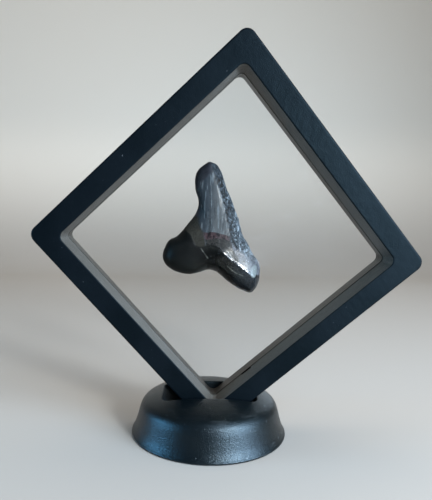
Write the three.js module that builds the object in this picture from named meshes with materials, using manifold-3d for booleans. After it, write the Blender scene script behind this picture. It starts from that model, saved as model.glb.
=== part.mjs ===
// A fossil shark tooth held between two clear films in a square frame, which stands on one corner
// in the slot of a round base. Millimetres, +Z up, +Y away from the viewer. The origin is on the
// base's axis, in the plane that the base stands on.
import * as THREE from 'three';
import { mergeVertices } from 'three/addons/utils/BufferGeometryUtils.js';
import Module from 'manifold-3d';

const wasm = await Module();
wasm.setup();

// Driving dimensions
const gap = 0.3; // clearance kept between pieces that touch
const frameSide = 110;
const frameDepth = 20; // both halves together
const frameCorner = 3.6; // outer corner radius
const faceOpening = 93.2; // side of the window at the outer faces
const seamOpening = 91.6; // side of the window where the halves meet
const windowCorner = 2.7;
const rebateCorner = 0.3;
const nailSlit = { along: -27.7, length: 4, width: 1.2, depth: 3 }; // opens the lower right wall
const frameLean = 3.5; // degrees, the top leaning towards +X
const frameCentre = new THREE.Vector3(6, 0, 80.5);

const filmSide = 96.4;
const filmThickness = 0.3;
const filmCells = 22;
const filmMargin = 0.35; // extra room between film and tooth, for the facets
const heldRings = 2; // outer rows of the film's grid that the frame clamps flat
const filmSweeps = 600;

const slotTopLength = 40.6;
const slotFloorLength = 8.4;
const slotWidth = 22.4;
const slotFloor = 4;
const slotCutTop = 30; // the slot's cutter runs on to here, clear of the dome
const baseWall = 2.4;
const cellRoof = 13.5;
const cellDraft = 0.8; // how much further in the cells' walls stand at their roof
const ribs = { count: 6, spacing: 8, thickness: 1.4, length: 80 };
const baseSides = 56;

const toothCentre = new THREE.Vector2(-3, 1); // every point of the outline is seen from here
const toothSides = 64;
const toothRings = [0.3, 0.55, 0.75, 0.88, 0.96];
const rimSamples = 4; // points of the outline between two of the tooth's spokes
const rootHalf = { front: 6.2, back: 5.0 };
const crownHalf = { front: 4.6, back: 2.6 };
const neckHeight = -1; // where the root passes into the crown
const neckBlend = 9;
const overcut = 1; // how far a cutter passes the face it opens

const palette = {
  base: { color: 0x14181c, roughness: 0.42, metalness: 0 },
  frame: { color: 0x151b22, roughness: 0.55, metalness: 0 },
  film: { color: 0xf4f8fa, roughness: 0.05, metalness: 0, transparent: true, opacity: 0.2 },
  tooth: { color: 0x2b3236, roughness: 0.25, metalness: 0 },
};

// Right half of the base's outline, from the standing face up: flared foot, straight skirt,
// soft shoulder and a shallow dome.
const baseOutline = [
  [33.4, 0], [33.9, 0.5], [33.3, 1.6], [31.4, 6.6], [29.6, 12.6], [28.5, 14.5],
  [26.3, 15.9], [23.2, 17.0], [19, 17.9], [13, 18.5], [0, 18.7],
];

// Outline of the tooth in the frame's own plane, clockwise from the worn tip.
const toothOutline = [
  [-9, 32.2], [-6.3, 31], [-3, 25], [1.8, 15], [5.8, 5.5], [11, -2], [14.4, -7.5],
  [14.2, -14.5], [11.5, -17.7], [5.5, -16.1], [-1.4, -11.6], [-7, -9.6], [-14.5, -11.9],
  [-22, -10.4], [-25.8, -5.8], [-24.4, 0], [-20.6, 2.9], [-13.7, 11.7], [-12.9, 17.5],
  [-14.7, 23.5], [-13.9, 28.7],
];

function toManifold(geometry) {
  const bare = geometry.index ? geometry.clone() : geometry;
  bare.deleteAttribute('normal');
  bare.deleteAttribute('uv');
  const merged = mergeVertices(bare, 1e-4);
  const mesh = new wasm.Mesh({
    numProp: 3,
    vertProperties: new Float32Array(merged.attributes.position.array),
    triVerts: new Uint32Array(merged.index.array),
  });
  return new wasm.Manifold(mesh);
}

function toGeometry(solid) {
  const mesh = solid.getMesh();
  const geometry = new THREE.BufferGeometry();
  geometry.setAttribute('position', new THREE.BufferAttribute(mesh.vertProperties, 3));
  geometry.setIndex(new THREE.BufferAttribute(mesh.triVerts, 1));
  geometry.computeVertexNormals();
  return geometry;
}

function finish(name, geometry, look) {
  const mesh = new THREE.Mesh(geometry, new THREE.MeshStandardMaterial(look));
  mesh.name = name;
  return mesh;
}

function box(centre, size) {
  const geometry = new THREE.BoxGeometry(...size);
  geometry.translate(...centre);
  return toManifold(geometry);
}

// A square of the given side with rounded corners, standing on one corner about the origin.
function standingSquare(side, corner) {
  const half = side / 2;
  const shape = new THREE.Shape();
  const turn = (i, x, y) => {
    const angle = Math.PI / 4 + i * Math.PI / 2;
    return [x * Math.cos(angle) - y * Math.sin(angle), x * Math.sin(angle) + y * Math.cos(angle)];
  };
  for (let i = 0; i < 4; i += 1) {
    const centre = turn(i, half - corner, half - corner);
    const start = Math.PI / 4 + i * Math.PI / 2;
    shape.absarc(...centre, corner, start, start + Math.PI / 2, false);
  }
  shape.closePath();
  return shape;
}

// An upright slab of a standing square from depth y0 to y1, its outline scaled to endScale at y1.
function slab(side, corner, y0, y1, endScale = 1) {
  const geometry = new THREE.ExtrudeGeometry(standingSquare(side, corner), {
    depth: y1 - y0, bevelEnabled: false, curveSegments: 5,
  });
  const position = geometry.attributes.position;
  for (let i = 0; i < position.count; i += 1) {
    const scale = 1 + (endScale - 1) * position.getZ(i) / (y1 - y0);
    position.setX(i, position.getX(i) * scale);
    position.setY(i, position.getY(i) * scale);
  }
  geometry.rotateX(Math.PI / 2); // the outline's y becomes z, and the depth runs along -Y
  geometry.translate(0, -y0, 0);
  return toManifold(geometry);
}

// The narrow opening for a fingernail in the window's lower right wall, in front of the rebate.
function slitSolid(rebateDepth) {
  const { along, length, width, depth } = nailSlit;
  const wall = seamOpening / 2;
  const geometry = new THREE.BoxGeometry(length, width + overcut, depth + overcut);
  geometry.translate(along, -rebateDepth - (width - overcut) / 2, -wall - (depth - overcut) / 2);
  geometry.rotateY(-Math.PI / 4);
  return toManifold(geometry);
}

// One half of the frame, in front of the seam: a square moulding whose window narrows towards the
// seam, with a shallow rebate round it that takes the film's edge.
function frameHalf() {
  const seam = gap / 2;
  const depth = frameDepth / 2;
  const slope = (faceOpening - seamOpening) / (depth - seam);
  const cutStart = seamOpening - slope * overcut;
  const cutEnd = faceOpening + slope * overcut;
  const body = slab(frameSide, frameCorner, seam, depth);
  const window = slab(cutStart, windowCorner, seam - overcut, depth + overcut, cutEnd / cutStart);
  const rebateDepth = seam + filmThickness + gap;
  const rebate = slab(filmSide + 2 * gap, rebateCorner, seam - overcut, rebateDepth);
  return { half: body.subtract(window).subtract(rebate), rebateDepth };
}

function frameFront() {
  const { half, rebateDepth } = frameHalf();
  return toGeometry(half.subtract(slitSolid(rebateDepth)));
}

function frameBack() {
  return toGeometry(frameHalf().half).rotateZ(Math.PI);
}

const outlineCurve = new THREE.CatmullRomCurve3(
  toothOutline.map(([x, z]) => new THREE.Vector3(x - toothCentre.x, 0, z - toothCentre.y)),
  true, 'centripetal',
);
const rim = outlineCurve.getSpacedPoints(toothSides * rimSamples).slice(0, -1);

// Half the tooth's thickness on one side, where share is the distance from the centre as a part
// of the outline's distance: rounded at the root's edges and thinning to a blade up the crown.
function toothHalf(side, share, z) {
  const rise = THREE.MathUtils.smoothstep(z, neckHeight, neckHeight + neckBlend);
  const middle = THREE.MathUtils.lerp(rootHalf[side], crownHalf[side], rise);
  const roundness = THREE.MathUtils.lerp(0.55, 0.8, rise);
  return middle * Math.max(0, 1 - share ** 2.4) ** roundness;
}

function toothGeometry() {
  const points = [];
  const index = [];
  const push = (x, y, z) => points.push(x + toothCentre.x, y, z + toothCentre.y) / 3 - 1;
  const edge = [];
  const spokes = rim.filter((_, k) => k % rimSamples === 0);
  for (const p of spokes) edge.push(push(p.x, 0, p.z));
  for (const side of ['front', 'back']) {
    const sign = side === 'front' ? -1 : 1;
    const facet = (a, b, c) => index.push(...(sign < 0 ? [a, b, c] : [a, c, b]));
    const pole = push(0, sign * toothHalf(side, 0, toothCentre.y), 0);
    const rings = toothRings.map((share) => spokes.map((p) => {
      const half = toothHalf(side, share, p.z * share + toothCentre.y);
      return push(p.x * share, sign * half, p.z * share);
    }));
    rings.push(edge);
    for (let k = 0; k < toothSides; k += 1) {
      const next = (k + 1) % toothSides;
      facet(pole, rings[0][next], rings[0][k]);
      for (let r = 1; r < rings.length; r += 1) {
        facet(rings[r - 1][k], rings[r - 1][next], rings[r][next]);
        facet(rings[r - 1][k], rings[r][next], rings[r][k]);
      }
    }
  }
  const geometry = new THREE.BufferGeometry();
  geometry.setAttribute('position', new THREE.BufferAttribute(new Float32Array(points), 3));
  geometry.setIndex(index);
  geometry.computeVertexNormals();
  return geometry;
}

// How far a point of the plane is from the tooth's centre, as a part of the outline's distance in
// the same direction, which is where the cosine of the angle between the two is greatest.
function shareAt(x, z) {
  const dx = x - toothCentre.x;
  const dz = z - toothCentre.y;
  const cosine = (p) => (p.x * dx + p.z * dz) / Math.hypot(p.x, p.z);
  const nearest = rim.reduce((best, p) => (cosine(p) > cosine(best) ? p : best));
  return Math.hypot(dx, dz) / Math.hypot(nearest.x, nearest.z);
}

// Depth of a film off the seam, on a square grid: flat in the frame, lifted over the tooth, and
// stretched between them like a soap film, each free point at the mean of its four neighbours.
function filmDepths(side) {
  const n = filmCells + 1;
  const step = filmSide / filmCells;
  const place = (i, j) => {
    const u = (i * step - filmSide / 2) * Math.SQRT1_2;
    const v = (j * step - filmSide / 2) * Math.SQRT1_2;
    return [u - v, u + v];
  };
  const need = (i, j) => {
    let most = 0;
    for (let a = -1; a <= 1; a += 0.5) {
      for (let b = -1; b <= 1; b += 0.5) {
        const [x, z] = place(i + a, j + b);
        const share = shareAt(x, z);
        if (share < 1) most = Math.max(most, toothHalf(side, share, z));
      }
    }
    return most > 0 ? most + gap / 2 + filmMargin : 0;
  };
  const floor = [];
  for (let i = 0; i < n; i += 1) {
    for (let j = 0; j < n; j += 1) {
      const held = Math.min(i, j, n - 1 - i, n - 1 - j) < heldRings;
      floor.push(held ? 0 : need(i, j));
    }
  }
  const depth = floor.slice();
  for (let sweep = 0; sweep < filmSweeps; sweep += 1) {
    for (let i = heldRings; i < n - heldRings; i += 1) {
      for (let j = heldRings; j < n - heldRings; j += 1) {
        const k = i * n + j;
        const mean = (depth[k - 1] + depth[k + 1] + depth[k - n] + depth[k + n]) / 4;
        depth[k] = Math.max(floor[k], mean);
      }
    }
  }
  return { n, place, depth };
}

function filmGeometry(side) {
  const { n, place, depth } = filmDepths(side);
  const sign = side === 'front' ? -1 : 1;
  const points = [];
  const index = [];
  for (const level of [gap / 2, gap / 2 + filmThickness]) {
    for (let i = 0; i < n; i += 1) {
      for (let j = 0; j < n; j += 1) {
        const [x, z] = place(i, j);
        points.push(x, sign * (level + depth[i * n + j]), z);
      }
    }
  }
  const quad = (a, b, c, d) => index.push(...(sign < 0 ? [a, b, c, a, c, d] : [a, c, b, a, d, c]));
  const outer = n * n;
  for (let i = 0; i < n - 1; i += 1) {
    for (let j = 0; j < n - 1; j += 1) {
      const k = i * n + j;
      quad(k, k + 1, k + n + 1, k + n);
      quad(k + outer, k + n + outer, k + n + 1 + outer, k + 1 + outer);
    }
  }
  const last = n - 1;
  const border = [];
  for (let i = 0; i < last; i += 1) border.push(i);
  for (let i = 0; i < last; i += 1) border.push(i * n + last);
  for (let i = last; i > 0; i -= 1) border.push(last * n + i);
  for (let i = last; i > 0; i -= 1) border.push(i * n);
  border.forEach((a, k) => {
    const b = border[(k + 1) % border.length];
    quad(b, a, a + outer, b + outer);
  });
  const geometry = new THREE.BufferGeometry();
  geometry.setAttribute('position', new THREE.BufferAttribute(new Float32Array(points), 3));
  geometry.setIndex(index);
  geometry.computeVertexNormals();
  return geometry;
}

// A solid of revolution about Z whose outline runs from the bottom of the axis to its top.
function turned(outline) {
  const points = [new THREE.Vector2(0, outline[0][1])];
  outline.forEach(([r, z]) => points.push(new THREE.Vector2(r, z)));
  const geometry = new THREE.LatheGeometry(points, baseSides);
  geometry.rotateX(Math.PI / 2);
  return toManifold(geometry);
}

// The wedge-shaped slot that takes the frame's lowest corner.
function slotSolid() {
  const domeTop = baseOutline.at(-1)[1];
  const floorHalf = slotFloorLength / 2;
  const flare = (slotTopLength / 2 - floorHalf) / (domeTop - slotFloor);
  const topHalf = floorHalf + flare * (slotCutTop - slotFloor);
  const corners = [
    [-floorHalf, slotFloor], [floorHalf, slotFloor], [topHalf, slotCutTop], [-topHalf, slotCutTop],
  ];
  const shape = new THREE.Shape(corners.map(([x, z]) => new THREE.Vector2(x, z)));
  const geometry = new THREE.ExtrudeGeometry(shape, { depth: slotWidth, bevelEnabled: false });
  geometry.rotateX(Math.PI / 2);
  geometry.translate(0, slotWidth / 2, 0);
  return toManifold(geometry);
}

// The base: one moulding, cored out from below round the block that holds the slot, with ribs
// from front to back.
function baseGeometry() {
  const footRadius = baseOutline[2][0] - baseWall;
  const roofRadius = baseOutline[4][0] - baseWall - cellDraft;
  const height = 2 * (cellRoof + overcut);
  const block = [slotTopLength + 2 * baseWall, slotWidth + 2 * baseWall, height];
  let cells = turned([[footRadius, -overcut], [roofRadius, cellRoof], [0, cellRoof]])
    .subtract(box([0, 0, 0], block));
  for (let k = 0; k < ribs.count; k += 1) {
    const x = (k - (ribs.count - 1) / 2) * ribs.spacing;
    cells = cells.subtract(box([x, 0, 0], [ribs.thickness, ribs.length, height]));
  }
  return toGeometry(turned(baseOutline).subtract(cells).subtract(slotSolid()));
}

const held = new THREE.Group();
held.add(finish('frame_front', frameFront(), palette.frame));
held.add(finish('frame_back', frameBack(), palette.frame));
held.add(finish('film_front', filmGeometry('front'), palette.film));
held.add(finish('film_back', filmGeometry('back'), palette.film));
held.add(finish('tooth', toothGeometry(), palette.tooth));
held.position.copy(frameCentre);
held.rotation.y = THREE.MathUtils.degToRad(frameLean);

const group = new THREE.Group();
group.add(finish('stand_base', baseGeometry(), palette.base));
group.add(held);

export default group;
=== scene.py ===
import math

import bpy
import numpy as np
from mathutils import Matrix, Vector


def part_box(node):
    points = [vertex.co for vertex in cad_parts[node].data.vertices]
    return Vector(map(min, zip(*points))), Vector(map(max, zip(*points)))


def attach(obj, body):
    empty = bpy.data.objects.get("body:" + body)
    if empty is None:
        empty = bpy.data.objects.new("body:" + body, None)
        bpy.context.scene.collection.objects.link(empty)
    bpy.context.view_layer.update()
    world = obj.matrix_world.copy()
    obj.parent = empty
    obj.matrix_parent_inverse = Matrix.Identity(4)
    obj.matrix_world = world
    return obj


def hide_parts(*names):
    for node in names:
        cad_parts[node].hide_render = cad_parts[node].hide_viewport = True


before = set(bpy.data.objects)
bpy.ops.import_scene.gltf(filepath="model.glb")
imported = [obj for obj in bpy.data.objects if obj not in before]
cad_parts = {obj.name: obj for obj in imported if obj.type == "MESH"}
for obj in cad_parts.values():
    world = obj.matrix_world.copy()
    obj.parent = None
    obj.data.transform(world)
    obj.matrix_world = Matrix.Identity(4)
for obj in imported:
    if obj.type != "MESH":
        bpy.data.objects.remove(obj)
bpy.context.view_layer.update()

# lengths below are in millimetres; meshes are written in metres
metre = 0.001

stand = dict(
    lean=3.5,  # degrees, the top of the frame towards +X
    seam=0.1,  # half the gap that holds the films
    land=0.004,  # half the gap between the frame's halves outside the films
)
frontLow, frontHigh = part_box("frame_front")
middle = np.array([(frontLow[0] + frontHigh[0]) / 2, 0, (frontLow[2] + frontHigh[2]) / 2]) / metre


def inFrame(x, y, z):
    # The frame's own upright axes to the stand's: a turn by the lean about Y, then a move to the
    # frame's middle.
    c, s = math.cos(math.radians(stand["lean"])), math.sin(math.radians(stand["lean"]))
    return np.stack([middle[0] + c * x + s * z, middle[1] + y, middle[2] - s * x + c * z], -1)


def smoothstep(value, low, high):
    # 0 below low, 1 above high, and 3t^2 - 2t^3 between them.
    t = np.clip((value - low) / (high - low), 0, 1)
    return t * t * (3 - 2 * t)


def bell(value, width):
    # Gaussian hump: e to the power of minus half the square of value over width.
    return np.exp(-0.5 * (value / width) ** 2)


def lumps(x, z, size, seed):
    # Value noise from -1 to 1: random heights on a square lattice of the given spacing, blended
    # with a smoothstep along each axis. The lattice repeats, and the tooth lies near its middle.
    count = 128
    table = np.random.default_rng(seed).uniform(-1, 1, (count, count))
    a, b = x / size + 60, z / size + 60
    i, j = np.floor(a).astype(int), np.floor(b).astype(int)
    s, t = smoothstep(a - i, 0, 1), smoothstep(b - j, 0, 1)
    at = lambda p, q: table[(i + p) % count, (j + q) % count]
    return (at(0, 0) * (1 - s) + at(1, 0) * s) * (1 - t) + (at(0, 1) * (1 - s) + at(1, 1) * s) * t


def smoothLine(points, count, closed=False):
    # Catmull-Rom curve through the points, resampled at count places equally far apart. An open
    # line gets one more point beyond each end, mirrored through it.
    p = np.asarray(points, float)
    if not closed:
        p = np.vstack([2 * p[0] - p[1], p, 2 * p[-1] - p[-2]])
    before, here, there, after = (np.roll(p, shift, 0)[:, None] for shift in (1, 0, -1, -2))
    steps = 40  # between two points
    t = np.linspace(0, 1, steps, endpoint=False)[None, :, None]
    curve = 0.5 * (2 * here + (there - before) * t
                   + (2 * before - 5 * here + 4 * there - after) * t ** 2
                   + (3 * here - before - 3 * there + after) * t ** 3)
    if closed:
        curve = np.vstack([curve.reshape(-1, p.shape[1]), p[:1]])
    else:
        curve = np.vstack([curve[1:-2].reshape(-1, p.shape[1]), p[-2:-1]])
    run = np.r_[0, np.cumsum(np.linalg.norm(np.diff(curve, axis=0), axis=1))]
    where = np.linspace(0, run[-1], count + 1)[:-1] if closed else np.linspace(0, run[-1], count)
    return np.stack([np.interp(where, run, column) for column in curve.T], -1)


def roundedSquare(half, radius, stations, arc=7):
    # Points round a square with rounded corners: each corner is a quarter circle about a centre
    # set in by its radius, and each straight side is sampled at stations from -1 to 1. half is a
    # number or a pair of half sides.
    halfX, halfY = np.broadcast_to(half, 2)
    turn = np.linspace(-math.pi / 4, math.pi / 4, arc)
    parts = []
    for k in range(4):
        angle = turn + math.pi / 4 + k * math.pi / 2
        cornerX = (halfX - radius) * (1, -1, -1, 1)[k]
        cornerY = (halfY - radius) * (1, 1, -1, -1)[k]
        corner = np.stack([cornerX + radius * np.cos(angle), cornerY + radius * np.sin(angle)], -1)
        onward = ((halfX - radius) * (-1, -1, 1, 1)[k], (halfY - radius) * (1, -1, -1, 1)[k])
        start = corner[-1]
        side = k % 2  # 0 runs along x, 1 along y
        end = start.copy()
        end[side] = onward[side]
        share = (stations[1:-1, None] + 1) / 2
        parts += [corner, start + (end - start) * share]
    return np.vstack(parts)


def gridFaces(rows, columns, closeRows):
    # Quads between neighbouring rows; the columns always close round.
    i = np.arange(rows if closeRows else rows - 1)[:, None]
    j = np.arange(columns)[None, :]
    a, b = i * columns + j, i * columns + (j + 1) % columns
    up = ((i + 1) % rows) * columns
    return np.stack([a, b, up + (j + 1) % columns, up + j], -1).reshape(-1, 4)


def signedVolume(points, faces):
    # Sum over triangles of the scalar product that gives six times a tetrahedron's volume.
    a, b, c = (points[faces[:, k]] for k in (0, 1, 2))
    total = np.einsum("ij,ij->i", a, np.cross(b, c)).sum()
    if faces.shape[1] == 4:
        total += np.einsum("ij,ij->i", a, np.cross(c, points[faces[:, 3]])).sum()
    return total / 6


def closedSurface(rings, poles=(None, None), closeRows=False):
    # One closed shell from an array of rings (rows, columns, 3). A pole is a point that closes the
    # first or the last ring with a fan. Faces are turned round if the shell is inside out.
    rows, columns = rings.shape[:2]
    points = rings.reshape(-1, 3)
    quads = gridFaces(rows, columns, closeRows)
    j = np.arange(columns)
    fans = []
    for pole, row in zip(poles, (0, rows - 1)):
        if pole is None:
            continue
        fan = np.stack([np.full(columns, len(points)), row * columns + j,
                        row * columns + (j + 1) % columns], -1)
        fans.append(fan if row else fan[:, ::-1])
        points = np.vstack([points, pole])
    triangles = np.vstack(fans) if fans else np.zeros((0, 3), int)
    volume = signedVolume(points, quads) + (signedVolume(points, triangles) if fans else 0)
    if volume < 0:
        quads, triangles = quads[:, ::-1], triangles[:, ::-1]
    return points, quads, triangles


def makePiece(name, shells, material, fields):
    # Joins closed shells into one smooth mesh object, with named values at its points.
    mesh = bpy.data.meshes.new(name)
    allPoints, allFaces, start = [], [], 0
    for points, quads, triangles in shells:
        allPoints.append(points)
        allFaces += (quads + start).tolist() + (triangles + start).tolist()
        start += len(points)
    mesh.from_pydata(np.vstack(allPoints) * metre, [], allFaces)
    for field, values in fields.items():
        kind = "FLOAT" if values.ndim == 1 else "FLOAT_VECTOR"
        layer = mesh.attributes.new(field, kind, "POINT")
        layer.data.foreach_set("value" if values.ndim == 1 else "vector",
                               np.ascontiguousarray(values, np.float32).ravel())
    mesh.polygons.foreach_set("use_smooth", np.ones(len(mesh.polygons), bool))
    mesh.materials.append(material)
    mesh.validate()
    mesh.update()
    piece = bpy.data.objects.new(name, mesh)
    bpy.context.scene.collection.objects.link(piece)
    print(name, len(mesh.vertices), "points,", len(mesh.polygons), "faces")
    return piece


class Value:
    # One output of a node. A sum, product or power of it adds a Math node to its tree.
    def __init__(self, tree, socket):
        self.tree, self.socket = tree, socket

    def math(self, operation, first, second=None):
        node = self.tree.nodes.new("ShaderNodeMath")
        node.operation = operation
        for k, item in enumerate((first, second)):
            if isinstance(item, Value):
                self.tree.links.new(item.socket, node.inputs[k])
            elif item is not None:
                node.inputs[k].default_value = item
        return Value(self.tree, node.outputs[0])

    def __add__(self, other): return self.math("ADD", self, other)
    def __radd__(self, other): return self.math("ADD", other, self)
    def __sub__(self, other): return self.math("SUBTRACT", self, other)
    def __rsub__(self, other): return self.math("SUBTRACT", other, self)
    def __mul__(self, other): return self.math("MULTIPLY", self, other)
    def __rmul__(self, other): return self.math("MULTIPLY", other, self)
    def __pow__(self, other): return self.math("POWER", self, other)

    def most(self, other): return self.math("MAXIMUM", self, other)


class Finish:
    # A node material. node() adds any node, and the rest are short names for the ones in use.
    def __init__(self, name):
        self.material = bpy.data.materials.new(name)
        self.material.use_nodes = True
        self.tree = self.material.node_tree
        self.tree.nodes.clear()

    def node(self, kind, settings=None, sockets=None, out=0):
        made = self.tree.nodes.new(kind)
        for key, item in (settings or {}).items():
            setattr(made, key, item)
        for key, item in (sockets or {}).items():
            if isinstance(item, Value):
                self.tree.links.new(item.socket, made.inputs[key])
            else:
                made.inputs[key].default_value = item
        return Value(self.tree, made.outputs[out]) if made.outputs else made

    def place(self):
        # the point on the piece, in metres
        return self.node("ShaderNodeTexCoord", out="Object")

    def field(self, name, out="Fac"):
        # a value that makePiece stored at the points
        return self.node("ShaderNodeAttribute", {"attribute_name": name}, out=out)

    def stretch(self, vector, scale):
        return self.node("ShaderNodeVectorMath", {"operation": "MULTIPLY"}, {0: vector, 1: scale})

    def noise(self, vector, scale, detail, roughness):
        return self.node("ShaderNodeTexNoise", None, {
            "Vector": vector, "Scale": scale, "Detail": detail, "Roughness": roughness})

    def ramp(self, value, low, high):
        # smoothstep from 0 at low to 1 at high
        return self.node("ShaderNodeMapRange", {"interpolation_type": "SMOOTHSTEP"}, {
            "Value": value, "From Min": low, "From Max": high})

    def blend(self, share, first, second):
        # colours; share 0 gives the first and 1 the second
        return self.node("ShaderNodeMix", {"data_type": "RGBA"},
                         {0: share, 6: first, 7: second}, out=2)

    def bump(self, height, metres=1.0):
        # metres is the rise of the surface where the height is 1
        return self.node("ShaderNodeBump", None,
                         {"Height": height, "Distance": metres, "Strength": 1.0})

    def surface(self, shader):
        self.node("ShaderNodeOutputMaterial", None, {"Surface": shader})
        return self.material


def colour(code):
    # "#rrggbb" as seen on a screen to linear red, green, blue and 1
    parts = np.array([int(code[k:k + 2], 16) for k in (1, 3, 5)]) / 255
    linear = np.where(parts <= 0.04045, parts / 12.92, ((parts + 0.055) / 1.055) ** 2.4)
    return (*linear.tolist(), 1.0)


mouldedFrame = dict(
    side=110.0, depth=10.0, corner=3.6, rebate=97.0,
    faceOpening=93.2, seamOpening=91.6, windowCorner=2.7,
    outerEdge=0.7, innerEdge=0.45, seamEdge=0.4,  # radii
    slitFrom=-29.7, slitTo=-25.7, slitDepth=3.2, slitWidth=1.3,
    # the two wall colours are painted light on the window's walls, paler than the plastic; the back
    # half's is darker, painted shade
    colour="#070b0f", deep="#030609", wall="#413f3b", farWallPaintedLight="#33302c", dust="#5b6065",
    gloss=0.092, sheen=(0.56, 0.85, 1.0, 1.0), roughness=0.34,
    grain=2600.0, grainHeight=0.00007,  # per metre, metres
)


def framePlastic(name, settings):
    # Fine-grained matt black plastic: a tight grain and a softer orange peel for relief, gloss that
    # wanders a little, and sparse dust. The window's walls are smoother and painted paler as
    # painted light; the back half's walls a little less pale, as painted shade.
    f = Finish(name)
    where = f.place()
    grain = f.noise(where, settings["grain"], 2.0, 0.6)
    peel = f.noise(where, 420.0, 2.0, 0.5)
    wander = f.noise(where, 38.0, 3.0, 0.5)
    specks = f.noise(where, 900.0, 1.0, 0.4)
    dust = f.ramp(specks, 0.735, 0.77) * f.ramp(wander, 0.5, 0.66)
    base = f.blend(f.ramp(wander, 0.35, 0.7), colour(settings["deep"]), colour(settings["colour"]))
    # painted light: the window's walls take a paler colour, the back half's a darker one as painted
    # shade
    paintedWallLight = f.field("wall")
    backHalfPaintedShade = f.ramp(f.field("half"), -0.1, 0.1)
    wall = f.blend(backHalfPaintedShade, colour(settings["wall"]), colour(settings["farWallPaintedLight"]))
    base = f.blend(paintedWallLight, base, wall)
    base = f.blend(dust * 0.5, base, colour(settings["dust"]))
    relief = grain * settings["grainHeight"] + peel * (settings["grainHeight"] * 1.2)
    return f.surface(f.node("ShaderNodeBsdfPrincipled", None, {
        "Base Color": base,
        "Roughness": (wander * 0.10 + grain * 0.06 + dust * 0.3 - paintedWallLight * 0.08
                      + settings["roughness"]),
        "Specular IOR Level": settings["gloss"], "Specular Tint": settings["sheen"],
        "Normal": f.bump(relief)}))


def frameProfile(s):
    # Section of one half, as rows of half side, depth from the seam and which corner radius to use,
    # 1 for the window's. It runs from the rebate along the seam, up the outside, over the face and
    # down the window's wall: straights joined by quarter circles, with an extra row close to each
    # so that the flats stay flat. The two halves touch along a land round the films.
    outer, face, seam, land = s["side"] / 2, s["depth"], stand["seam"], stand["land"]
    inFace, inSeam = s["faceOpening"] / 2, s["seamOpening"] / 2
    turn = np.linspace(0, math.pi / 2, 6)
    near = 0.15  # from a quarter circle to its extra row
    e, i, m = s["outerEdge"], s["innerEdge"], s["seamEdge"]
    rows = [(s["rebate"] / 2, seam, 1), (s["rebate"] / 2 + 0.01, land, 1), (outer - m - 0.5, land, 0)]
    rows += [(outer - m + m * math.sin(t), land + m - m * math.cos(t), 0) for t in turn]
    rows += [(outer, land + m + near, 0), (outer, face - e - near, 0)]
    rows += [(outer - e + e * math.cos(t), face - e + e * math.sin(t), 0) for t in turn]
    rows += [(outer - e - 0.2, face, 0), (inFace + i + 0.2, face, 1)]
    rows += [(inFace + i - i * math.sin(t), face - i + i * math.cos(t), 1) for t in turn]
    rows.append((inFace - 0.015, face - i - near, 1))
    draft = (inFace - inSeam) / (face - seam)
    slit = s["slitWidth"]
    for above in (slit + 4 * near, slit + 2 * near, slit + near, slit, m + 0.1):
        rows.append((inSeam + draft * above, seam + above, 1))
    rows += [(inSeam + m - m * math.cos(t), seam + m - m * math.sin(t), 1) for t in turn]
    rows = np.array(rows)
    radius = np.where(rows[:, 2] > 0, s["windowCorner"] + rows[:, 0] - inFace,
                      s["corner"] + rows[:, 0] - outer)
    # painted light: the window's wall is painted paler from the end of its rounded edge on
    paintedWallLight = smoothstep(inFace + i - rows[:, 0], 0.8 * i, i)  # the rounded edge stays black
    smallest = 0.4
    return rows[:, 0], rows[:, 1], np.maximum(radius, smallest), paintedWallLight


def frameHalf(name, sign, s, material):
    # The profile carried round a rounded square, which is then turned by 45 degrees to stand on a
    # corner. The nail slit pushes the inner wall's rows next to the seam outwards between two
    # places of the lower right side. sign is -1 for the front half and 1 for the back.
    half, depth, radius, paintedWallLight = frameProfile(s)
    straight = s["seamOpening"] / 2 - s["windowCorner"]
    ends = np.array([s["slitFrom"], s["slitTo"]]) / straight
    margin = np.array([-0.15, 0.15]) / straight
    stations = np.unique(np.r_[np.linspace(-1, 1, 61), ends, ends + margin, ends + 2 * margin])
    rings = np.stack([roundedSquare(a, r, stations) for a, r in zip(half, radius)])
    u, v = rings[..., 0], rings[..., 1]
    if sign < 0:
        hair = 0.05  # takes in the rows and columns that lie on the slit's edges
        opening = s["seamOpening"] / 2
        nearSeam = (depth < stand["seam"] + s["slitWidth"] + hair) & (half < opening + 1)
        inSlit = (u > s["slitFrom"] - hair) & (u < s["slitTo"] + hair) & (v < 1 - opening)
        v = v - s["slitDepth"] * (inSlit & nearSeam[:, None])
    x, z = (u - v) * math.sqrt(0.5), (u + v) * math.sqrt(0.5)
    y = np.broadcast_to(sign * depth[:, None], x.shape)
    # wall places the painted light on the window's walls, half the painted shade on the back half's
    fields = {"wall": np.repeat(paintedWallLight, x.shape[1]), "half": np.full(x.size, float(sign))}
    return makePiece(name, [closedSurface(inFrame(x, y, z), closeRows=True)], material, fields)


matPlastic = framePlastic("framePlastic", mouldedFrame)
frameFront = frameHalf("frameFront", -1, mouldedFrame, matPlastic)
frameBack = frameHalf("frameBack", 1, mouldedFrame, matPlastic)
print("frame made")


roundBase = dict(
    profile=[(33.1, 0.0), (33.75, 0.25), (33.9, 0.9), (33.3, 1.9), (32.2, 4.4), (31.1, 8.0),
             (30.2, 11.2), (29.2, 13.6), (27.6, 15.3), (25.2, 16.4), (22.4, 17.3), (19.0, 18.0),
             (14.0, 18.7), (8.0, 19.0), (0.0, 19.1)],  # radius and height
    domeEdge=24.5, footEdge=33.0,  # radii
    slotTop=(20.0, 10.7), slotFloor=(4.2, 10.6), slotCorner=3.4, slotRim=0.5, floor=4.0,
    wall=2.4, roof=13.5, roofEdge=26.4, footRing=31.0,  # the hollow underneath
    ribs=(-20.0, -12.0, -4.0, 4.0, 12.0, 20.0), ribThickness=1.4,
    colour="#04080b", warm="#070a0a", dust="#9aa3a8",
    gloss=0.37, sheen=(0.68, 0.88, 1.0, 1.0), roughness=0.23,
    grain=2300.0, coarse=2100.0, grainHeight=0.000095,  # per metre, per metre, metres
)


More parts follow.
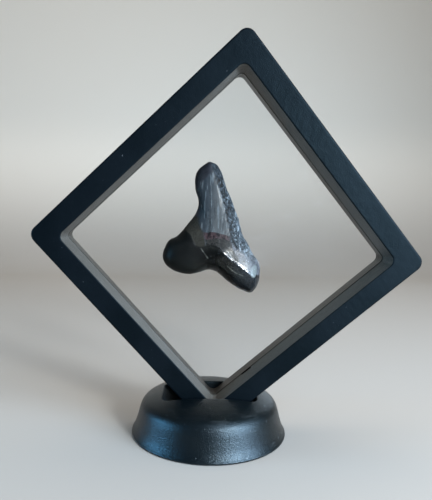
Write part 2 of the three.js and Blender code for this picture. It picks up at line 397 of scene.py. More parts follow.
def basePlastic(name, settings):
    # Satin black plastic: fine grain that breaks the highlights into sparkle, wandering gloss,
    # rubbed patches and a few pale specks. Inside the slot it is duller.
    f = Finish(name)
    where = f.place()
    grain = f.noise(where, settings["grain"], 2.0, 0.65)
    coarse = f.noise(where, settings["coarse"], 2.0, 0.6)
    wander = f.noise(where, 45.0, 4.0, 0.55)
    streak = f.noise(f.stretch(where, (1.0, 1.0, 7.0)), 130.0, 3.0, 0.6)
    specks = f.noise(where, 1500.0, 1.0, 0.4)
    dust = f.ramp(specks, 0.77, 0.80)
    shade = f.ramp(f.field("slot"), 0.0, 1.5)
    smear = f.ramp(streak, 0.55, 0.75) * f.ramp(wander, 0.42, 0.62)
    base = f.blend(f.ramp(wander, 0.35, 0.7), colour(settings["colour"]), colour(settings["warm"]))
    base = f.blend((dust * 0.6).most(smear * 0.03), base, colour(settings["dust"]))
    relief = (grain + coarse) * settings["grainHeight"]
    return f.surface(f.node("ShaderNodeBsdfPrincipled", None, {
        "Base Color": base,
        "Roughness": (wander * 0.10 + smear * 0.10 + grain * 0.06 + dust * 0.3 + shade * 0.4
                      + settings["roughness"]),
        "Specular IOR Level": settings["gloss"], "Specular Tint": settings["sheen"],
        "Normal": f.bump(relief)}))


def turnedBase(name, s, material):
    # One shell of rings. Every ring uses the directions of the slot's rounded rectangle, so that
    # the dome passes smoothly from circles to the slot: a ring there is a mix of the two, at the
    # height that the profile has at each point's distance from the axis. The slot's walls narrow
    # to its floor. Underneath, the rings run up the block that holds the slot, along the roof of
    # the hollow and down again inside the foot.
    outline = smoothLine(s["profile"], 220)
    reach, height = outline[::-1, 0], outline[::-1, 1]
    dome = lambda x, y: np.interp(np.hypot(x, y), reach, height)
    stations = np.linspace(-1, 1, 40)
    rim = roundedSquare(np.add(s["slotTop"], s["slotRim"]), s["slotCorner"] + s["slotRim"], stations)
    bearing = rim / np.linalg.norm(rim, axis=1, keepdims=True)
    rings, slotDepth = [], []

    def ring(points, z, depth=0.0):
        # one more ring, with its depth in the slot
        rings.append(np.column_stack([points, np.broadcast_to(z, len(points))]))
        slotDepth.append(np.broadcast_to(depth, len(points)))

    block = roundedSquare(np.add(s["slotTop"], s["wall"]), s["slotCorner"] + s["wall"], stations)
    ring(block * 0.97, 0)  # underneath, from the block outwards
    ring(block, 0.3)
    ring(block, s["roof"] - 0.5)
    ring(block * 1.02, s["roof"])
    ring(bearing * (s["roofEdge"] - 0.5), s["roof"])
    ring(bearing * s["roofEdge"], s["roof"] - 0.5)
    ring(bearing * s["footRing"], 0.3)
    ring(bearing * (s["footRing"] + 0.3), 0)
    ring(bearing * s["footEdge"], 0)
    for r, z in outline[outline[:, 0] > s["domeEdge"]]:  # skirt and shoulder
        ring(bearing * r, z)
    for t in np.linspace(0, 1, 26)[1:]:  # dome, from a circle to the slot's rim
        points = bearing * s["domeEdge"] * (1 - t) + rim * t
        ring(points, dome(*points.T))
    fillet = s["slotRim"]
    for t in np.linspace(0, math.pi / 2, 7)[1:]:  # rolled edge
        out = fillet * (1 - math.sin(t))
        points = roundedSquare(np.add(s["slotTop"], out), s["slotCorner"] + out, stations)
        ring(points, dome(*rim.T) - fillet * (1 - math.cos(t)), fillet * t / 2)
    topZ = dome(*rim.T) - fillet
    deepest = 14.0
    for t in np.linspace(0, 1, 13)[1:]:  # walls of the slot
        half = np.array(s["slotTop"]) * (1 - t) + np.array(s["slotFloor"]) * t
        ring(roundedSquare(half, s["slotCorner"], stations), topZ * (1 - t) + s["floor"] * t,
             1 + (deepest - 1) * t)
    inner = np.subtract(s["slotFloor"], 0.9)
    ring(roundedSquare(inner, s["slotCorner"] - 0.9, stations), s["floor"], deepest)
    shells = [closedSurface(np.stack(rings), poles=((0, 0, 0), (0, 0, s["floor"])))]
    near = s["slotTop"][1] + s["wall"] - 0.4
    for x in s["ribs"]:  # plates from the block to the ring wall, front and back
        reached = math.sqrt(s["footRing"] ** 2 - x ** 2) - 0.3
        for way in (-1, 1):
            plate = []
            for z, far in ((0.3, reached), (s["roof"] + 0.3, reached - 2.9)):
                half = (s["ribThickness"] / 2, (far - near) / 2)
                edge = roundedSquare(half, 0.15, np.linspace(-1, 1, 5), 3) + (x, way * (near + far) / 2)
                plate.append(np.column_stack([edge, np.full(len(edge), z)]))
            plate = np.stack(plate)
            shells.append(closedSurface(plate, poles=(plate[0].mean(0), plate[-1].mean(0))))
    # the shell's two poles come after its rings, and the ribs after them
    deep = np.zeros(sum(len(points) for points, _, _ in shells))
    deep[:len(rings) * len(rim)] = np.concatenate(slotDepth)
    deep[len(rings) * len(rim) + 1] = deepest
    return makePiece(name, shells, material, {"slot": deep})


matBase = basePlastic("basePlastic", roundBase)
standBase = turnedBase("standBase", roundBase, matBase)
print("base made")


tooth = dict(
    centre=(-3.0, 1.0),
    outline=[(-9, 32), (-6.5, 31), (-4.5, 28.5), (-3, 25), (-1, 21), (2, 15), (4.2, 10), (5.8, 5.5),
             (8, 2.5), (11, -2), (13.5, -5), (14.5, -8), (14.5, -12), (13.5, -15.5), (11.5, -17.7),
             (8.5, -17.2), (5.5, -16), (2, -14), (-1.5, -11.5), (-4, -10), (-7, -9.6), (-10.5, -11),
             (-14.5, -12), (-18.5, -11.7), (-22, -10.5), (-24.7, -8.3), (-25.8, -5.5), (-25.3, -2.5),
             (-23.7, 1), (-20.8, 2.7), (-18.5, 5), (-16, 8.5), (-13.7, 11.8), (-12.7, 15), (-13, 18),
             (-14.2, 21), (-14.7, 24.5), (-14.4, 27.5), (-13, 29.7), (-11, 31.3)],
    columns=440, rings=106,
    edgeWidth=[(-18, 4.4), (0, 4.6), (8, 4.8), (15, 4.8), (25, 4.4), (30, 3.2), (33, 2.4)],
    rootHalf=(6.2, 5.0), crownHalf=(4.6, 2.6), neck=-1.0, neckBlend=9.0,  # front, back
    footLine=[(-26, 7.5), (-18, 5.8), (-15, 4.0), (-13.5, 1.4), (-12, 0.0), (-9, 0.3), (-7, 0.8),
              (-4, 0.4), (-0.8, -1.6), (2.6, -4.4), (6.8, -7.0), (10.5, -8.8), (16, -11.0)],
    bandTop=[(-26, 7), (-9.8, 5.4), (-7.5, 5.8), (-4.5, 5.6), (-0.6, 4.8), (3.4, 3.6), (16, 0)],
    bandFoot=[(-26, 3), (-9.6, 2.8), (-6.5, 3.1), (-3.6, 3.6), (1.5, 2.7), (16, -2)],
    leftEdge=[(-20, -8.2), (-1, -8.8), (5.2, -10.0), (8.1, -11.5), (11.3, -12.4), (14.7, -12.0),
              (20, -12.9), (23.0, -12.8), (25.0, -11.6), (26.3, -9.9), (28, -9.0), (30.5, -8.9),
              (34, -8)],
    marginLine=[(-20, 8.0), (-4, 4.5), (0, 2.0), (3.4, 0.7), (7.5, 0.0), (11.8, -1.6), (15.3, -2.6),
                (19.6, -4.1), (24.7, -6.4), (29.8, -8.7), (34, -11)],
    ridges=[  # line, height, half width and steepness; the last one is polished
        (np.array([(-20, -5.5), (-13, -5.0), (-5, -3.5)]), 0.6, 4.5, 2),
        (np.array([(-2, -4.0), (5, -7.8), (10.0, -10.9)]), 1.12, 4.7, 2.2)],
    scratches=[[(-10.5, -0.8), (-7.5, -4.4)], [(0.5, -6.9), (3.4, -9.0), (7.0, -10.3)]],
    chips=[((-7.6, -7.5), 1.0), ((5.0, 6.0), 1.1), ((-13.0, 16.0), 1.2)],  # middle, width
    greyPatch=((11.4, -8.4), (1.2, 2.1)),  # middle, half widths
)
toothCentre = np.array(tooth["centre"])
# the rim is the smoothed outline, about the centre, pushed in and out by lumps; a jagged set of
# them is added along the broken right side
toothRim = smoothLine(tooth["outline"], tooth["columns"], closed=True) - toothCentre
outwards = toothRim / np.linalg.norm(toothRim, axis=1, keepdims=True)
jag = smoothstep(toothRim[:, 0] + toothRim[:, 1] * 0.45, 2, 8) * smoothstep(toothRim[:, 1], -3, 2)
toothRim += outwards * (lumps(*toothRim.T, 3.5, 3) * 0.12 + lumps(*toothRim.T, 1.1, 4) * 0.05
                        + lumps(*toothRim.T, 1.3, 5) * 0.28 * jag)[:, None]


def along(points, value):
    # Height of an open smooth line at each value, from pairs of value and height.
    line = smoothLine(points, 160)
    return np.interp(value, line[:, 0], line[:, 1])


def segmentDistance(x, z, start, end):
    # Distance from each point to the nearest of the segments: to the foot of its perpendicular,
    # kept between the segment's ends. Worked out in blocks of points.
    found = []
    run = end - start
    for block in np.array_split(np.column_stack([x, z]), max(1, len(x) // 4000)):
        away = block[:, None] - start[None]
        t = np.clip((away * run).sum(-1) / (run ** 2).sum(-1), 0, 1)
        found.append(np.linalg.norm(away - t[..., None] * run, axis=-1).min(1))
    return np.concatenate(found)


def softDistance(x, z, start, end):
    # Distance from each point to a closed outline, rounded off in the middle where the true
    # distance has creases: the square root of 2 over the integral along the outline of one over
    # the distance cubed, which has an exact value for every straight segment.
    found = []
    length = np.linalg.norm(end - start, axis=1)
    way = (end - start) / length[:, None]
    for block in np.array_split(np.column_stack([x, z]), max(1, len(x) // 4000)):
        away = block[:, None] - start[None]
        run = (away * way).sum(-1)
        beside = np.maximum((away ** 2).sum(-1) - run ** 2, 1e-6)
        rest = run - length
        total = (run / np.sqrt(beside + run ** 2) - rest / np.sqrt(beside + rest ** 2)) / beside
        found.append(np.sqrt(2 / total.sum(1)))
    return np.concatenate(found)


def toothForm(z, share, soft, side):
    # Half the thickness without its relief: a dome over the whole tooth, mixed with an edge that
    # rolls over within a few millimetres of the outline, round on the root and thin on the crown.
    # side is 0 for the front and 1 for the back.
    rise = smoothstep(z, tooth["neck"], tooth["neck"] + tooth["neckBlend"])
    root, crown = tooth["rootHalf"][side], tooth["crownHalf"][side]
    dome = np.maximum(0, 1 - share ** 2.4) ** (0.6 + 0.25 * rise)
    q = np.clip(soft / np.interp(z, *np.array(tooth["edgeWidth"]).T), 0, 1)
    edge = (1 - (1 - q) ** 2) ** (0.5 + 0.2 * rise)
    return (root + (crown - root) * rise) * (0.45 * dome + 0.55 * edge)


def toothRelief(x, z, inside, side):
    # Added to the form: the bulge and ridges of the root and the step where it ends, the groove of
    # the dark band, the broken right margin, soft lumps and a few chips.
    soft = smoothstep(inside, 0, 3.0)
    foot = z - along(tooth["footLine"], x)
    ridges = sum(height * np.exp(-(segmentDistance(x, z, line[:-1], line[1:]) / width) ** power)
                 for line, height, width, power in tooth["ridges"])
    relief = soft * ridges * (1.0, 0.5)[side]
    if side == 0:
        relief += soft * 0.22 * smoothstep(-foot, -1.0, 1.2)
        bandMid = (along(tooth["bandTop"], x) + along(tooth["bandFoot"], x)) / 2
        relief -= 0.12 * bell(z - bandMid, 1.0) * smoothstep(x, -11.5, -9) * smoothstep(4.5 - x, 0, 3)
    broken = smoothstep(x - np.interp(z, *np.array(tooth["marginLine"]).T), -0.6, 1.4)
    broken *= smoothstep(foot, 0, 2.5) * smoothstep(inside, 0, 0.8) * smoothstep(z, -2.0, 1.0)
    relief -= (1.0, 0.6)[side] * broken * (0.12 + 0.22 * lumps(x * 1.3, z * 0.8, 1.1, 11)
                                           + 0.16 * lumps(x, z, 0.6, 12))
    relief += smoothstep(inside, 0, 1.5) * (0.16 * lumps(x, z, 6.0, 13 + side)
                                            + 0.05 * lumps(x, z, 2.2, 17 + side))
    for (cx, cz), width in tooth["chips"]:
        relief -= 0.35 * bell(np.hypot(x - cx, z - cz), width * 0.6) * smoothstep(inside, 0, 0.6)
    return relief


def toothGrid():
    # Rings of the outline shrunk towards the centre, closer together near the edge, with half the
    # thickness in front and behind at each point.
    t = np.linspace(0, 1, tooth["rings"] + 1)[1:]
    share = t * (1.35 - 0.35 * t ** 2)
    x = toothCentre[0] + share[:, None] * toothRim[:, 0]
    z = toothCentre[1] + share[:, None] * toothRim[:, 1]
    corners = toothRim + toothCentre
    flatX, flatZ, onward = x.ravel(), z.ravel(), np.roll(corners, -1, 0)
    inside = segmentDistance(flatX, flatZ, corners, onward)
    soft = np.minimum(softDistance(flatX, flatZ, corners, onward), inside * 1.2)
    depths = []
    for side in (0, 1):
        depth = toothForm(flatZ, np.repeat(share, x.shape[1]), soft, side)
        depth = np.maximum(0, depth + toothRelief(flatX, flatZ, inside, side)).reshape(x.shape)
        depth[-1] = 0
        depths.append(depth)
    return dict(share=share, x=x, z=z, depth=depths)


toothRings = toothGrid()


def toothDepth(x, z, side):
    # Half the thickness at any place, between the nearest rings and columns; 0 outside.
    shares, halves = toothRings["share"], toothRings["depth"][side]
    loop = np.vstack([toothRim, toothRim[:1]])
    bearing = np.unwrap(np.arctan2(loop[:, 1], loop[:, 0]))
    turned = (np.arctan2(z - toothCentre[1], x - toothCentre[0]) - bearing[0]) % (2 * math.pi)
    forward = 1 if bearing[-1] > bearing[0] else -1  # the outline may run either way round
    turned = turned if forward > 0 else (2 * math.pi - turned) % (2 * math.pi)
    column = np.interp(turned, (bearing - bearing[0]) * forward, np.arange(len(loop)))
    reach = np.interp(column, np.arange(len(loop)), np.hypot(*loop.T))
    share = np.hypot(x - toothCentre[0], z - toothCentre[1]) / reach
    row = np.interp(share, shares, np.arange(len(shares)))
    i, j = np.minimum(row.astype(int), len(shares) - 2), column.astype(int)
    s, t = row - i, column - j
    at = lambda a, b: halves[i + a, (j + b) % len(toothRim)]
    depth = (at(0, 0) * (1 - t) + at(0, 1) * t) * (1 - s) + (at(1, 0) * (1 - t) + at(1, 1) * t) * s
    return np.where(share < 1, depth, 0)


def shadeTooth(name):
    # Each zone of the tooth is a mask: a smoothstep across one of its lines, from the distance
    # that makeTooth stored, made ragged with noise. The zones' colours are blended in turn.
    f = Finish(name)
    where = f.place()
    foot, band, bandEnd = f.field("foot"), f.field("bandTop"), f.field("bandFoot")
    left, right, ridge = f.field("leftEdge"), f.field("margin"), f.field("ridge")
    height, across, front = f.field("height"), f.field("across"), f.field("front")
    ragged = f.noise(where, 520.0, 4.0, 0.6) - 0.5
    broad = f.noise(where, 110.0, 3.0, 0.55)
    fine = f.noise(where, 1500.0, 4.0, 0.65)
    streaks = f.noise(f.stretch(where, (1.0, 1.0, 0.07)), 1150.0, 3.0, 0.6)
    bars = f.noise(f.stretch(where, (1.0, 1.0, 0.05)), 260.0, 2.0, 0.5)
    # enamel with streaks that run up the crown; darker and bluer on the left, which is painted
    # shade with a painted bluish sheen
    enamel = f.blend(f.ramp(across + ragged * 3.0, -11.5, -5.5), colour("#222a31"), colour("#3f4243"))
    enamel = f.blend(f.ramp(bars, 0.42, 0.60) * 0.4, enamel, colour("#4d4d4c"))
    enamel = f.blend(f.ramp(bars, 0.50, 0.36) * 0.4, enamel, colour("#303233"))
    enamel = f.blend(f.ramp(streaks, 0.54, 0.66) * 0.5, enamel, colour("#6d7477"))
    enamel = f.blend(f.ramp(streaks, 0.46, 0.36) * 0.5, enamel, colour("#25282a"))
    enamel = f.blend(f.ramp(height + ragged * 5.0, 27.5, 32.0) * 0.75, enamel, colour("#2b262a"))
    # the broken margin: flakes, each with a grey of its own, over black
    shift = f.node("ShaderNodeTexNoise", None, {"Vector": where, "Scale": 700.0, "Detail": 2.0},
                   out="Color")
    wobble = f.node("ShaderNodeVectorMath", {"operation": "MULTIPLY_ADD"}, {
        0: shift, 1: (0.0016, 0.0016, 0.0016), 2: where})
    cells = f.node("ShaderNodeTexVoronoi", None, {
        "Vector": f.stretch(wobble, (1.0, 1.0, 0.5)), "Scale": 1700.0}, out="Color")
    flakes = f.noise(f.stretch(where, (1.0, 1.0, 0.4)), 1500.0, 5.0, 0.75)
    ownGrey = f.node("ShaderNodeSeparateXYZ", None, {0: cells})
    tone = ownGrey * 0.4 + flakes - 0.26 + f.ramp(right, 0.0, 5.0) * 0.14
    broken = f.blend(f.ramp(tone, 0.32, 0.50), colour("#07090b"), colour("#23292e"))
    broken = f.blend(f.ramp(tone, 0.52, 0.64), broken, colour("#383f44"))
    broken = f.blend(f.ramp(tone, 0.66, 0.76), broken, colour("#757d82"))
    broken = f.blend(f.ramp(broad, 0.50, 0.62) * 0.7, broken, colour("#141b21"))
    isBroken = f.ramp(right + ragged * 2.2, -0.3, 0.5)
    crown = f.blend(isBroken, enamel, broken)
    # smooth black strip along the left edge, olive brown below it
    black = f.blend(f.ramp(broad, 0.35, 0.65), colour("#191c20"), colour("#2e2e33"))
    isLeft = f.ramp(left + ragged * 2.4, 0.7, -0.7)
    brown = f.blend(f.ramp(fine, 0.3, 0.7), colour("#1c1a16"), colour("#2c2a24"))
    low = f.ramp(height + ragged * 2.0, 12.3, 10.8)
    crown = f.blend(isLeft, crown, f.blend(low, black, brown))
    # the dark band at the foot of the enamel, and the strip between it and the root
    strip = f.blend(f.ramp(fine, 0.35, 0.65), colour("#1c1c1b"), colour("#2f2d2a"))
    isStrip = f.ramp(band + ragged * 0.7, 0.15, -0.15) * (1 - isLeft)
    crown = f.blend(isStrip * front * (1 - isBroken), crown, strip)
    dark = f.blend(f.ramp(streaks, 0.4, 0.6), colour("#181315"), colour("#3d2f30"))
    isBand = f.ramp(band + ragged * 0.7, 0.15, -0.2) * f.ramp(bandEnd + ragged * 0.9, -0.35, 0.25)
    crown = f.blend(isBand * front * (1 - isLeft) * (1 - isBroken) * 0.85, crown, dark)
    # between the margin and the root's right end a paler grey with few flakes
    shoulder = f.ramp(foot + ragged * 3.0, 6.0, 4.4) * isBroken * front
    pale = f.blend(f.ramp(fine, 0.35, 0.65), colour("#36373a"), colour("#55565a"))
    crown = f.blend(shoulder * 0.8, crown, pale)
    # root, black and polished, olive brown in the middle and to the right, grey at the right end
    root = f.blend(f.ramp(broad, 0.3, 0.7), colour("#050606"), colour("#0d0f0e"))
    warm = f.ramp(across, -15.0, -9.0) * f.ramp(fine, 0.4, 0.65)
    root = f.blend(warm * f.ramp(broad, 0.35, 0.6) * 0.8, root, colour("#2a2924"))
    root = f.blend(f.ramp(across, 0.0, 7.0) * f.ramp(fine, 0.3, 0.6) * 0.6, root, colour("#2b2e31"))
    grey = f.ramp(f.field("greyPatch") + ragged * 0.25, 0.40, 0.68)
    mark = f.ramp(f.field("scratch") + ragged * 0.5, 0.22, 0.05)
    root = f.blend(mark * 0.4, root, colour("#7c7a70"))
    isRoot = f.ramp(foot + ragged * 0.8, 0.2, -0.25)
    base = f.blend(isRoot, crown, root)
    base = f.blend(grey, base, colour("#5c6261"))
    # relief: enamel streaks, flakes at the margin, fine pits and scratches on the root; the ridge
    # is polished
    pits = f.node("ShaderNodeTexVoronoi", None, {"Vector": where, "Scale": 900.0}, out="Distance")
    onCrown = (1 - isRoot) * (1 - isLeft)
    polish = f.ramp(ridge, 3.6, 1.0) * front
    onEnamel = onCrown * (1 - isBroken)
    onFlakes = isBroken * onCrown * (1 - shoulder * 0.8) * (1 - polish)
    pitted = f.ramp(pits, 0.0, 0.35) * isRoot * (1 - polish * 0.7)
    relief = (streaks * 0.000045 + bars * 0.00003) * onEnamel
    relief = relief + (flakes * 0.0001 + tone * 0.00005) * onFlakes
    relief = relief + fine * 0.00001 + pitted * 0.00002 - mark * 0.00002
    return f.surface(f.node("ShaderNodeBsdfPrincipled", None, {
        "Base Color": base,
        "Roughness": (0.20 + broad * 0.10 - polish * 0.14 + fine * 0.05 + grey * 0.14
                      + isBroken * onCrown * (1 - shoulder) * 0.24
                      + f.ramp(across, -8.5, -12.0) * (1 - isRoot) * 0.3
                      + isRoot * (f.ramp(across, 2.0, -12.0) * 0.28 - 0.08)),
        "Specular IOR Level": 0.15, "Specular Tint": (1.0, 0.95, 0.88, 1.0),
        "Coat Weight": polish * 0.2, "Coat Roughness": 0.10,
        "Normal": f.bump(relief)}))


def makeTooth(name, material):
    # The two sides share their rim. The rings run from the front's pole out to the rim and back to
    # the back's pole. The values at the points are distances from the tooth's lines.
    x, z = (np.vstack([toothRings[key], toothRings[key][-2::-1]]) for key in ("x", "z"))
    front, back = toothRings["depth"]
    y = np.vstack([-front, back[-2::-1]])
    poles = [inFrame(toothCentre[0], poleY, toothCentre[1])
             for poleY in (-front[0].mean(), back[0].mean())]
    rings = inFrame(x, y, z)
    flat = lambda value: np.r_[value.ravel(), value[0, 0], value[-1, 0]]
    px, pz = flat(x), flat(z)
    marginX = np.interp(pz, *np.array(tooth["marginLine"]).T)
    (patchX, patchZ), (patchWidth, patchHeight) = tooth["greyPatch"]
    farAway = 9.0
    scratch = np.full(len(px), farAway)
    for line in tooth["scratches"]:
        line = smoothLine(line, 12)
        scratch = np.minimum(scratch, segmentDistance(px, pz, line[:-1], line[1:]))
    ridge = tooth["ridges"][-1][0]
    fields = {
        "ridge": segmentDistance(px, pz, ridge[:-1], ridge[1:]),
        "foot": pz - along(tooth["footLine"], px),
        "bandTop": pz - along(tooth["bandTop"], px),
        "bandFoot": pz - along(tooth["bandFoot"], px),
        "leftEdge": px - along(tooth["leftEdge"], pz),
        "margin": px - marginX,
        "height": pz, "across": px,
        "front": (flat(y) <= 0.2).astype(float),
        "scratch": np.where(flat(y) < 0, scratch, farAway),
        "greyPatch": bell(px - patchX, patchWidth) * bell(pz - patchZ, patchHeight) * (flat(y) < 0),
    }
    return makePiece(name, [closedSurface(rings, poles=poles)], material, fields)


matTooth = shadeTooth("fossilTooth")
fossilTooth = makeTooth("fossilTooth", matTooth)
print("tooth made")


film = dict(
    side=96.4, cells=176, clearance=0.05,
    inner=0.02, outer=0.055,  # the two surfaces, off the seam
    sweeps=260, overshoot=1.7,
    tint=(0.962, 0.966, 0.968, 1.0), mirror=0.0008, streak=0.003, smudge=0.002, roughness=0.12,
)


def stretchFilm(side, s):
    # Depth of one film off the seam, on a square grid that is held at the window's edge and
    # lifted over the tooth. Where it touches nothing it is a stretched membrane, each point at the
    # mean of its four neighbours. Each sweep moves the even and then the odd points past that
    # mean by the overshoot, on a coarse grid first and then on finer ones.
    gripped = mouldedFrame["seamOpening"] / 2 - 0.05
    depth = None
    for cells in (s["cells"] // 8, s["cells"] // 4, s["cells"] // 2, s["cells"]):
        line = np.linspace(-s["side"] / 2, s["side"] / 2, cells + 1)
        u, v = np.meshgrid(line, line, indexing="ij")
        x, z = (u - v) * math.sqrt(0.5), (u + v) * math.sqrt(0.5)
        obstacle = toothDepth(x, z, side)
        obstacle += s["clearance"] * (obstacle > 0)
        spread = obstacle.copy()  # the highest of the nine cells around, so no facet cuts the tooth
        for a in (-1, 0, 1):
            for b in (-1, 0, 1):
                spread = np.maximum(spread, np.roll(obstacle, (a, b), (0, 1)))
        held = np.maximum(np.abs(u), np.abs(v)) > gripped
        if depth is None:
            depth = spread.copy()
        else:
            half = np.arange(cells + 1) / 2  # the finer grid's places on the coarse one
            i = np.minimum(half.astype(int), len(depth) - 2)
            t = half - i
            mixed = depth[i] * (1 - t)[:, None] + depth[i + 1] * t[:, None]
            depth = mixed[:, i] * (1 - t) + mixed[:, i + 1] * t
        depth = np.maximum(depth, spread)
        depth[held] = 0
        parity = np.add.outer(np.arange(cells + 1), np.arange(cells + 1)) % 2
        for turn in range(2 * s["sweeps"]):
            mean = np.zeros_like(depth)
            mean[1:-1, 1:-1] = (depth[:-2, 1:-1] + depth[2:, 1:-1]
                                + depth[1:-1, :-2] + depth[1:-1, 2:]) / 4
            moved = np.maximum(depth + s["overshoot"] * (mean - depth), spread)
            depth = np.where((parity == turn % 2) & ~held, moved, depth)
    return x, z, depth


def makeFilm(name, side, sign, s, material):
    # Two copies of the grid a hair apart, joined round their border. The spokes are each point's
    # bearing from the tooth, a little changed with its distance, for the streaks.
    x, z, depth = stretchFilm(side, s)
    n = x.shape[0]
    points = np.vstack([inFrame(x, sign * (depth + level), z).reshape(-1, 3)
                        for level in (s["inner"], s["outer"])])
    i, j = np.meshgrid(np.arange(n - 1), np.arange(n - 1), indexing="ij")
    k = (i * n + j).ravel()
    low = np.stack([k, k + 1, k + n + 1, k + n], -1)
    high = low[:, ::-1] + n * n
    last = n - 1
    run = np.arange(last)
    border = np.r_[run, run * n + last, last * n + last - run, (last - run) * n]
    onward = np.roll(border, -1)
    walls = np.stack([onward, border, border + n * n, onward + n * n], -1)
    quads = np.vstack([low, high, walls])
    if signedVolume(points, quads) < 0:
        quads = quads[:, ::-1]
    spokeX, spokeZ = x - toothCentre[0], z - toothCentre[1]
    far = np.hypot(spokeX, spokeZ) + 1e-6
    spokes = np.stack([spokeX / far * 9, spokeZ / far * 9, far * 0.035], -1).reshape(-1, 3)
    return makePiece(name, [(points, quads, np.zeros((0, 3), int))], material,
                     {"spokes": np.vstack([spokes, spokes])})


def clearFilm(name, s):
    # A clear film: a mirror coat whose share grows with the angle as the fifth power of the facing
    # value, faint streaks that radiate from the tooth, smudges, and a slight grey of its own.
    f = Finish(name)
    spokes = f.field("spokes", "Vector")
    facing = f.node("ShaderNodeLayerWeight", None, {"Blend": 0.5}, out="Facing")
    streaks = f.ramp(f.noise(spokes, 1.6, 3.0, 0.6), 0.52, 0.78)
    smudges = f.ramp(f.noise(f.place(), 60.0, 4.0, 0.6), 0.5, 0.8)
    share = s["mirror"] + facing ** 5 * 0.7 + streaks * s["streak"] + smudges * s["smudge"]
    coat = f.node("ShaderNodeBsdfPrincipled", None, {
        "Base Color": (0.92, 0.95, 0.97, 1.0), "Metallic": 1.0,
        "Roughness": s["roughness"] + streaks * 0.25 + smudges * 0.15,
        "Normal": f.bump(f.noise(spokes, 2.5, 3.0, 0.5), 0.00008)})
    clear = f.node("ShaderNodeBsdfTransparent", None, {"Color": s["tint"]})
    return f.surface(f.node("ShaderNodeMixShader", None, {0: share, 1: clear, 2: coat}))


matFilm = clearFilm("clearFilm", film)
filmFront = makeFilm("filmFront", 0, -1, film, matFilm)
filmBack = makeFilm("filmBack", 1, 1, film, matFilm)
print("films stretched")

for piece, node, slot in (
    (frameFront, "frame_front", "frame_plastic"), (frameBack, "frame_back", "frame_plastic"),
    (standBase, "stand_base", "base_plastic"), (fossilTooth, "tooth", "fossil_tooth"),
    (filmFront, "film_front", "clear_film"), (filmBack, "film_back", "clear_film"),
):
    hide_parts(node)
    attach(piece, "root")


studio = dict(  # lengths in metres
    floor="#9b9791", wall="#dcd6cb", wallDistance=0.75, wallBend=0.25, reach=2.2,
    world="#a2a8ae", worldStrength=0.28, aim=(0.0, 0.0, 0.05),
    # name, direction, distance, width and height, watts, colour, spread in degrees
    softboxes=[
        ("rightWindow", (0.735, -0.68, 0.25), 0.75, (0.54, 0.36), 5.3, "#c4dcf4", 100),
        ("windowGap", (0.53, -0.79, 0.36), 0.74, (0.10, 0.16), 1.5, "#f2f4f4", 100),
        ("windowTop", (0.62, -0.53, 0.72), 0.8, (0.5, 0.4), 1.5, "#c4dcf4", 100),
        ("leftWindow", (-0.985, -0.17, 0.13), 0.75, (0.32, 0.16), 1.5, "#7cc4f4", 100),
        ("rearFill", (0.5, 0.86, 0.24), 0.66, (0.3, 0.3), 0.16, "#c8dcec", 100),
        ("ceiling", (0.0, 0.25, 1.0), 1.2, (1.4, 1.0), 8.5, "#fff2e4", 140),
    ],
    matt=("ceiling",),  # lights surfaces but isn't mirrored in them
)


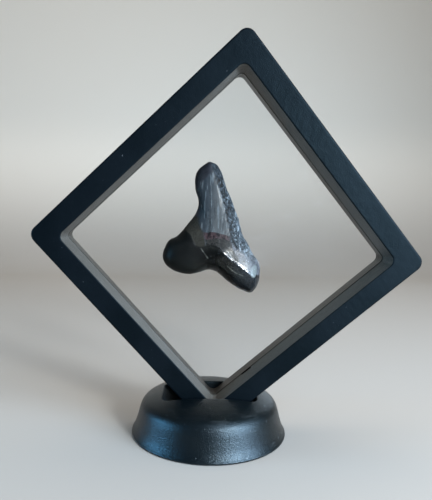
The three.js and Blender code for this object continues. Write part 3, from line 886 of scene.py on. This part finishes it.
def backdrop(name, s):
    # A sheet that runs along the floor, turns up through a quarter circle and rises as a wall. Its
    # paint goes from the floor's to the wall's over the first part of the rise.
    depth, radius, reach = s["wallDistance"], s["wallBend"], s["reach"]
    turn = np.linspace(0, math.pi / 2, 24)
    y = np.r_[-reach, depth - radius + radius * np.sin(turn), depth]
    z = np.r_[0, radius * (1 - np.cos(turn)), reach]
    x = np.array([-reach, reach])
    points = np.stack([np.broadcast_to(x, (len(y), 2)), np.broadcast_to(y[:, None], (len(y), 2)),
                       np.broadcast_to(z[:, None], (len(y), 2))], -1).reshape(-1, 3)
    k = np.arange(len(y) - 1) * 2
    mesh = bpy.data.meshes.new(name)
    mesh.from_pydata(points, [], np.stack([k, k + 1, k + 3, k + 2], -1).tolist())
    mesh.polygons.foreach_set("use_smooth", np.ones(len(mesh.polygons), bool))
    f = Finish(name)
    up = f.node("ShaderNodeSeparateXYZ", None, {0: f.place()}, out=2)
    paint = f.blend(f.ramp(up, 0.0, 0.2), colour(s["floor"]), colour(s["wall"]))
    mesh.materials.append(f.surface(f.node("ShaderNodeBsdfPrincipled", None, {
        "Base Color": paint, "Roughness": 0.85, "Specular IOR Level": 0.2})))
    sheet = bpy.data.objects.new(name, mesh)
    bpy.context.scene.collection.objects.link(sheet)


def softbox(name, towards, distance, size, power, tint, spread):
    # An area light at a distance along a direction from the aim, facing it.
    light = bpy.data.lights.new(name, "AREA")
    light.shape, light.size, light.size_y = "RECTANGLE", *size
    light.energy, light.color, light.spread = power, colour(tint)[:3], math.radians(spread)
    box = bpy.data.objects.new(name, light)
    way = Vector(towards).normalized()
    box.location = Vector(studio["aim"]) + way * distance
    box.rotation_euler = way.to_track_quat("Z", "Y").to_euler()
    box.visible_camera, box.visible_glossy = False, name not in studio["matt"]
    bpy.context.scene.collection.objects.link(box)


backdrop("paleBackdrop", studio)
for values in studio["softboxes"]:
    softbox(*values)

world = bpy.data.worlds.new("softRoom")
world.use_nodes = True
room = world.node_tree.nodes["Background"]
room.inputs["Color"].default_value = colour(studio["world"])
room.inputs["Strength"].default_value = studio["worldStrength"]
bpy.context.scene.world = world
bpy.context.scene.view_settings.view_transform = "Standard"

viewer = dict(
    place=(-0.007393, -0.207979, 0.096249),  # metres
    turn=-0.49, tilt=74.622, roll=0.777,  # degrees
    sensor=36.0, lens=36.247, shift=(0.0384, 0.19), clip=(0.005, 20.0),
)
cameraData = bpy.data.cameras.new("viewer")
cameraData.sensor_width, cameraData.lens = viewer["sensor"], viewer["lens"]
cameraData.shift_x, cameraData.shift_y = viewer["shift"]
cameraData.clip_start, cameraData.clip_end = viewer["clip"]
camera = bpy.data.objects.new("viewer", cameraData)
turn, tilt, roll = (math.radians(viewer[key]) for key in ("turn", "tilt", "roll"))
camera.matrix_world = (Matrix.Translation(viewer["place"]) @ Matrix.Rotation(turn, 4, "Z")
                       @ Matrix.Rotation(tilt, 4, "X") @ Matrix.Rotation(roll, 4, "Z"))
bpy.context.scene.collection.objects.link(camera)
bpy.context.scene.camera = camera
print("studio set")
